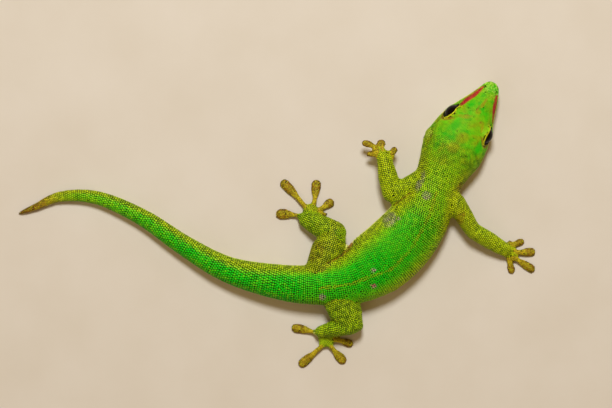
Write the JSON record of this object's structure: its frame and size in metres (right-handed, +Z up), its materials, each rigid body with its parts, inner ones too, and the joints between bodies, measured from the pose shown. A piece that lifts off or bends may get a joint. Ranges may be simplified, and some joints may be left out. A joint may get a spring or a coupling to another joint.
{
  "type": "day gecko model",
  "caption": "Life-size still model of a walking Madagascar day gecko, flattened body bent in a curve, long tail, broad toe pads and one hand lifted, resting on its belly.",
  "frame": {"origin": "on the floor, under the middle of the bounding box of the whole animal", "axes": "+X is the picture's right, along the length from the tail tip towards the head, +Y is the picture's top, towards which the snout points, +Z is up from the floor through the back"},
  "size_m": [0.2077, 0.1148, 0.0172],
  "materials": {
    "body_skin": "granular skin, vivid green, satin",
    "limb_skin": "granular skin, yellow green to olive on the toes, satin",
    "eye": "wet gloss, nearly black"
  },
  "bodies": {
    "root": {"head": "body_skin", "lower_jaw": "body_skin", "eye_left": "eye", "eye_right": "eye", "neck": "body_skin", "torso": "body_skin", "tail_base": "body_skin", "tail_middle": "body_skin", "tail_end": "body_skin", "front_left_upper_arm": "limb_skin", "front_left_forearm": "limb_skin", "front_left_hand": "limb_skin", "front_right_upper_arm": "limb_skin", "front_right_forearm": "limb_skin", "front_right_hand": "limb_skin", "hind_left_thigh": "limb_skin", "hind_left_shin": "limb_skin", "hind_left_foot": "limb_skin", "hind_right_thigh": "limb_skin", "hind_right_shin": "limb_skin", "hind_right_foot": "limb_skin"}
  },
  "joints": []
}
